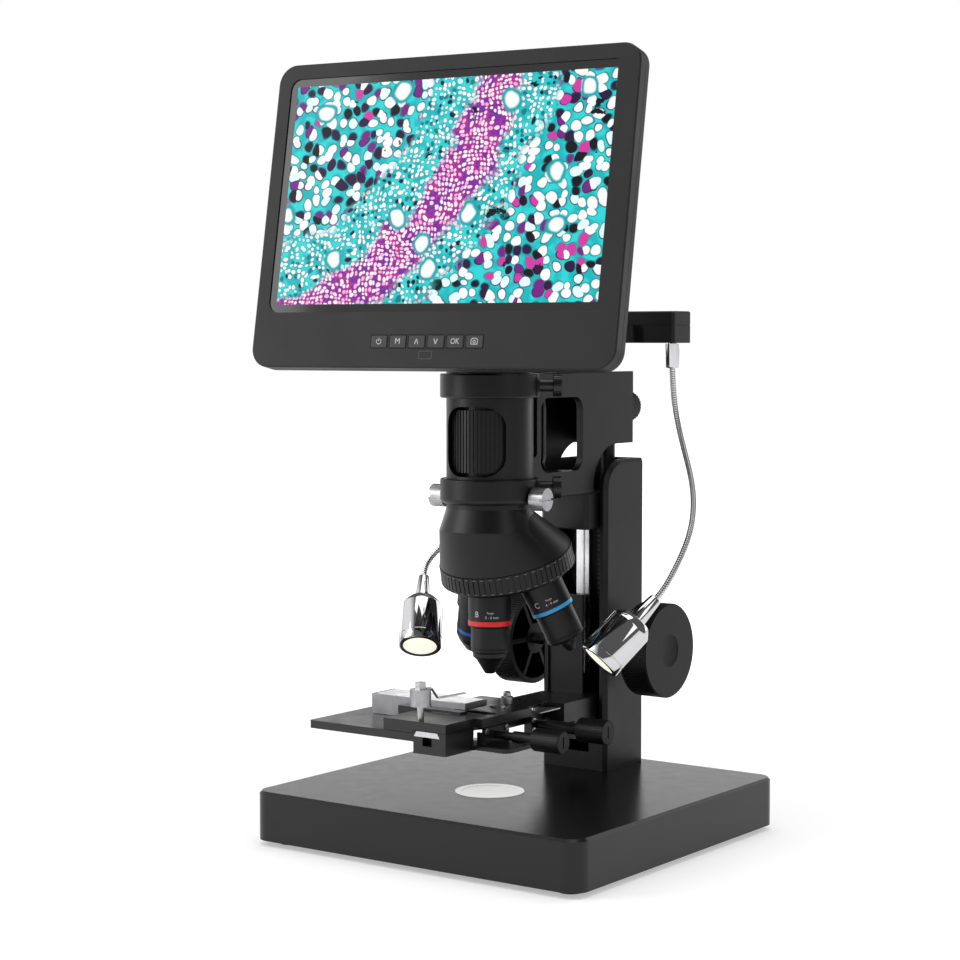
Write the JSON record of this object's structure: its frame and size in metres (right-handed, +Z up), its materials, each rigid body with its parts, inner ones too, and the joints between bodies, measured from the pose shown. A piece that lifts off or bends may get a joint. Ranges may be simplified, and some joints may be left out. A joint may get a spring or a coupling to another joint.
{
  "type": "digital microscope",
  "caption": "Digital microscope with a tilting flat display, twin-plate arm, inclined revolving nosepiece, moving stage and chrome gooseneck lamps on a flat base.",
  "frame": {"origin": "on the floor under the centre of the base, which is also the foot of the whole part's bounding box to about 1 mm", "axes": "+X to the right as a user facing the display sees it, +Y towards the column at the back, +Z up"},
  "size_m": [0.2614, 0.2532, 0.482],
  "materials": {
    "satin_black": "satin black anodised aluminium",
    "base_paint": "matte black powder coat",
    "steel": "turned or ground steel",
    "button_plastic": "moulded black key cap",
    "black_plastic": "fine-grained black moulding",
    "bezel_plastic": "satin black display frame",
    "knurl_black": "black anodised grip",
    "chrome": "mirror-polished chrome plate",
    "diffuser": "milk-white diffuser glass",
    "screen": "lit display panel under cover glass",
    "board": "green circuit board",
    "screw_black": "blackened steel",
    "objective_metal": "black anodised objective barrel",
    "rubber": "moulded rubber",
    "bush_brass": "plain turned bush",
    "aluminium": "bead-blasted aluminium"
  },
  "bodies": {
    "stand": {"base_cover": "base_paint", "base_plate": "satin_black", "rubber_feet": "rubber", "base_screws": "steel", "illuminator_ring": "satin_black", "illuminator_glass": "diffuser", "led_board": "board", "power_socket": "black_plastic", "column": "satin_black", "column_cover": "satin_black", "guide_rails": "steel", "shaft_bushes": "bush_brass", "stage_table": "satin_black", "stage_bracket": "satin_black", "guide_block": "satin_black"},
    "dimmer": {"dimmer_knob": "black_plastic"},
    "focus": {"focus_shaft": "steel", "focus_knob_left": "black_plastic", "focus_knob_right": "black_plastic"},
    "carriage": {"slide_plate": "satin_black", "rack": "steel", "slide_bar": "steel", "carriage_block": "satin_black", "arm_plate_left": "satin_black", "arm_plate_right": "satin_black", "arm_core": "satin_black", "top_collar": "satin_black", "low_collar": "satin_black", "lock_screws": "screw_black", "thumbscrews": "steel", "nosepiece_housing": "satin_black", "lamp_bar": "satin_black"},
    "rear_lock": {"rear_lock_knob": "black_plastic"},
    "tube_head": {"tube": "satin_black", "sensor_board": "board", "display_yoke": "satin_black"},
    "focus_ring": {"focus_ring": "knurl_black"},
    "turret": {"turret_ring": "knurl_black", "objective_low": "objective_metal", "objective_mid": "objective_metal", "objective_high": "objective_metal"},
    "display": {"display_frame": "bezel_plastic", "display_back": "black_plastic", "lcd_panel": "screen", "main_board": "board"},
    "cross_slide": {"cross_slide": "satin_black"},
    "specimen": {"specimen_bar": "aluminium"},
    "y_rod": {"y_drive_rod": "steel"},
    "x_rod": {"x_drive_rod": "steel"},
    "clip": {"spring_clip": "steel"},
    "lamp_left": {"gooseneck_left": "chrome", "lamp_head_left": "chrome"},
    "lamp_right": {"gooseneck_right": "chrome", "lamp_head_right": "chrome"},
    "button_power_cap": {"button_power": "button_plastic"},
    "button_menu_cap": {"button_menu": "button_plastic"},
    "button_up_cap": {"button_up": "button_plastic"},
    "button_down_cap": {"button_down": "button_plastic"},
    "button_ok_cap": {"button_ok": "button_plastic"},
    "button_camera_cap": {"button_camera": "button_plastic"}
  },
  "joints": [
    {"name": "carriage_slide", "type": "slide", "parent": "stand", "child": "carriage", "axis": [0, 0, 1], "range_m": [-0.008, 0.04]},
    {"name": "focus_spin", "type": "hinge", "parent": "stand", "child": "focus", "pos_m": [0, 0.081, 0.114], "axis": [1, 0, 0], "range_deg": [-60, 290]},
    {"name": "dimmer_turn", "type": "hinge", "parent": "stand", "child": "dimmer", "pos_m": [-0.121, -0.04, 0.018], "axis": [1, 0, 0], "range_deg": [-135, 135]},
    {"name": "rear_lock_turn", "type": "hinge", "parent": "carriage", "child": "rear_lock", "pos_m": [0, 0.1054, 0.269], "axis": [0, 1, 0], "range_deg": [-90, 90]},
    {"name": "tube_swivel", "type": "hinge", "parent": "carriage", "child": "tube_head", "pos_m": [0, -0.03135, 0.285], "axis": [0, 0, 1], "range_deg": [-40, 40]},
    {"name": "focus_ring_turn", "type": "hinge", "parent": "tube_head", "child": "focus_ring", "pos_m": [0, -0.03135, 0.252], "axis": [0, 0, 1], "range_deg": [-100, 100]},
    {"name": "turret_turn", "type": "hinge", "parent": "carriage", "child": "turret", "pos_m": [0, -0.03135, 0.231], "axis": [0, 0.309, -0.9511], "continuous": true},
    {"name": "display_tilt", "type": "hinge", "parent": "tube_head", "child": "display", "pos_m": [0.00474, -0.07107, 0.33], "axis": [0.993, 0.1184, 0], "range_deg": [-45, 10]},
    {"name": "button_power_press", "type": "slide", "parent": "display", "child": "button_power_cap", "axis": [-0.1163, 0.9752, -0.1881], "range_m": [0, 0.0008], "stiffness_N_per_m": 1500},
    {"name": "button_menu_press", "type": "slide", "parent": "display", "child": "button_menu_cap", "axis": [-0.1163, 0.9752, -0.1881], "range_m": [0, 0.0008], "stiffness_N_per_m": 1500},
    {"name": "button_up_press", "type": "slide", "parent": "display", "child": "button_up_cap", "axis": [-0.1163, 0.9752, -0.1881], "range_m": [0, 0.0008], "stiffness_N_per_m": 1500},
    {"name": "button_down_press", "type": "slide", "parent": "display", "child": "button_down_cap", "axis": [-0.1163, 0.9752, -0.1881], "range_m": [0, 0.0008], "stiffness_N_per_m": 1500},
    {"name": "button_ok_press", "type": "slide", "parent": "display", "child": "button_ok_cap", "axis": [-0.1163, 0.9752, -0.1881], "range_m": [0, 0.0008], "stiffness_N_per_m": 1500},
    {"name": "button_camera_press", "type": "slide", "parent": "display", "child": "button_camera_cap", "axis": [-0.1163, 0.9752, -0.1881], "range_m": [0, 0.0008], "stiffness_N_per_m": 1500},
    {"name": "cross_slide_y", "type": "slide", "parent": "stand", "child": "cross_slide", "axis": [0, 1, 0], "range_m": [-0.022, 0.002]},
    {"name": "y_rod_turn", "type": "hinge", "parent": "stand", "child": "y_rod", "pos_m": [0, -0.036, 0.071], "axis": [1, 0, 0], "range_deg": [-30, 317]},
    {"name": "specimen_x", "type": "slide", "parent": "cross_slide", "child": "specimen", "axis": [1, 0, 0], "range_m": [-0.015, 0.008]},
    {"name": "x_rod_turn", "type": "hinge", "parent": "cross_slide", "child": "x_rod", "pos_m": [0, 0.014, 0.07], "axis": [1, 0, 0], "range_deg": [-220, 120]},
    {"name": "clip_turn", "type": "hinge", "parent": "cross_slide", "child": "clip", "pos_m": [-0.0219, -0.0733, 0.0825], "axis": [0, 0, 1], "range_deg": [-60, 60]},
    {"name": "lamp_left_swing", "type": "hinge", "parent": "carriage", "child": "lamp_left", "pos_m": [-0.0687, 0.071, 0.3116], "axis": [0, 0, 1], "range_deg": [-75, 8]},
    {"name": "lamp_right_swing", "type": "hinge", "parent": "carriage", "child": "lamp_right", "pos_m": [0.0687, 0.071, 0.3116], "axis": [0, 0, 1], "range_deg": [-3, 75]}
  ],
  "couplings": [
    {"joint": "focus_spin", "follows": "carriage_slide", "rad_per_m": 125},
    {"joint": "y_rod_turn", "follows": "cross_slide_y", "rad_per_m": -250},
    {"joint": "x_rod_turn", "follows": "specimen_x", "rad_per_m": 250}
  ]
}
